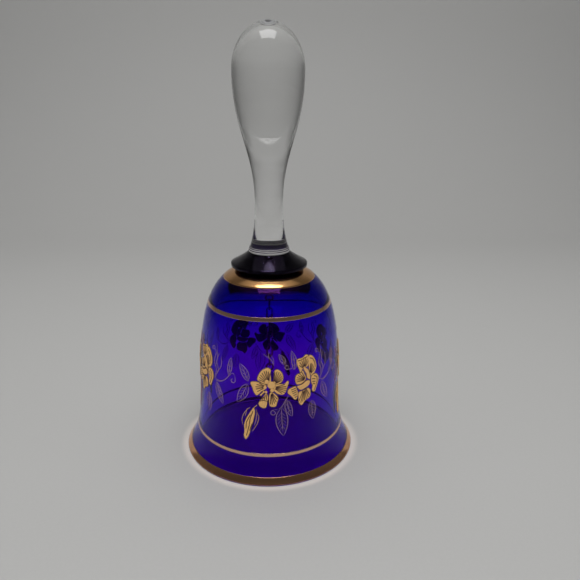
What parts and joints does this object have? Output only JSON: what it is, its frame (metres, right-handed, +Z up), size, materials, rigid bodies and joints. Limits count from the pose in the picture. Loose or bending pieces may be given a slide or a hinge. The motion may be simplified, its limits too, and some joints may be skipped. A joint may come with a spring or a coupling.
{
  "type": "glass hand bell",
  "caption": "Cobalt glass hand bell: flared cup with fired gilt bands and flower sprigs, dark collar, clear drop handle and a beaded clapper on a wire chain.",
  "frame": {"origin": "centre of the mouth, on the plane that the lip stands on", "axes": "+Z up the bell's axis towards the handle; -Y towards the middle of the first flower sprig; +X to the right of it"},
  "size_m": [0.0722, 0.0722, 0.1705],
  "materials": {
    "cobalt_glass": "polished deep cobalt glass",
    "collar_glass": "polished cobalt glass, near black where it is thick",
    "clear_glass": "fire-polished clear solid glass",
    "band_gold": "burnished fired gold",
    "flower_gold": "satin fired gold with dark drawn lines",
    "leaf_gold": "thin worn gold line work",
    "chain_brass": "drawn brass wire, slightly dull",
    "bead_glass": "polished clear glass bead"
  },
  "bodies": {
    "bell": {"bell_cup": "cobalt_glass", "collar": "collar_glass", "handle": "clear_glass", "lip_gilt_band": "band_gold", "lower_gilt_line": "band_gold", "upper_gilt_line": "band_gold", "shoulder_gilt_band": "band_gold", "open_blossom_1": "flower_gold", "side_blossom_1": "flower_gold", "bud_1": "flower_gold", "left_leaves_1": "leaf_gold", "lower_leaves_1": "leaf_gold", "side_leaf_1": "leaf_gold", "upper_leaves_1": "leaf_gold", "fronds_1": "leaf_gold", "trailing_leaves_1": "leaf_gold", "open_blossom_2": "flower_gold", "side_blossom_2": "flower_gold", "bud_2": "flower_gold", "left_leaves_2": "leaf_gold", "lower_leaves_2": "leaf_gold", "side_leaf_2": "leaf_gold", "upper_leaves_2": "leaf_gold", "fronds_2": "leaf_gold", "trailing_leaves_2": "leaf_gold", "open_blossom_3": "flower_gold", "side_blossom_3": "flower_gold", "bud_3": "flower_gold", "left_leaves_3": "leaf_gold", "lower_leaves_3": "leaf_gold", "side_leaf_3": "leaf_gold", "upper_leaves_3": "leaf_gold", "fronds_3": "leaf_gold", "trailing_leaves_3": "leaf_gold", "open_blossom_4": "flower_gold", "side_blossom_4": "flower_gold", "bud_4": "flower_gold", "left_leaves_4": "leaf_gold", "lower_leaves_4": "leaf_gold", "side_leaf_4": "leaf_gold", "upper_leaves_4": "leaf_gold", "fronds_4": "leaf_gold", "trailing_leaves_4": "leaf_gold", "hanger_plate": "chain_brass", "hanger_eye": "chain_brass"},
    "link_1": {"chain_link_1": "chain_brass"},
    "link_2": {"chain_link_2": "chain_brass"},
    "link_3": {"chain_link_3": "chain_brass"},
    "link_4": {"chain_link_4": "chain_brass"},
    "link_5": {"chain_link_5": "chain_brass"},
    "link_6": {"chain_link_6": "chain_brass"},
    "link_7": {"chain_link_7": "chain_brass"},
    "clapper": {"clapper_eye": "chain_brass", "clapper_pin": "chain_brass", "clapper_bead": "bead_glass"}
  },
  "joints": [
    {"name": "chain_swing_1", "type": "hinge", "parent": "bell", "child": "link_1", "pos_m": [0, 0, 0.06742], "axis": [1, 0, 0], "range_deg": [-29, 29]},
    {"name": "chain_swing_2", "type": "hinge", "parent": "link_1", "child": "link_2", "pos_m": [0, 0, 0.06288], "axis": [0, 1, 0], "range_deg": [-33, 33]},
    {"name": "chain_swing_3", "type": "hinge", "parent": "link_2", "child": "link_3", "pos_m": [0, 0, 0.05833], "axis": [-1, 0, 0], "range_deg": [-38, 38]},
    {"name": "chain_swing_4", "type": "hinge", "parent": "link_3", "child": "link_4", "pos_m": [0, 0, 0.05378], "axis": [0, -1, 0], "range_deg": [-46, 46]},
    {"name": "chain_swing_5", "type": "hinge", "parent": "link_4", "child": "link_5", "pos_m": [0, 0, 0.04922], "axis": [1, 0, 0], "range_deg": [-58, 58]},
    {"name": "chain_swing_6", "type": "hinge", "parent": "link_5", "child": "link_6", "pos_m": [0, 0, 0.04467], "axis": [0, 1, 0], "range_deg": [-60, 60]},
    {"name": "chain_swing_7", "type": "hinge", "parent": "link_6", "child": "link_7", "pos_m": [0, 0, 0.04013], "axis": [-1, 0, 0], "range_deg": [-60, 60]},
    {"name": "clapper_swing", "type": "hinge", "parent": "link_7", "child": "clapper", "pos_m": [0, 0, 0.03558], "axis": [0, -1, 0], "range_deg": [-60, 60]}
  ]
}
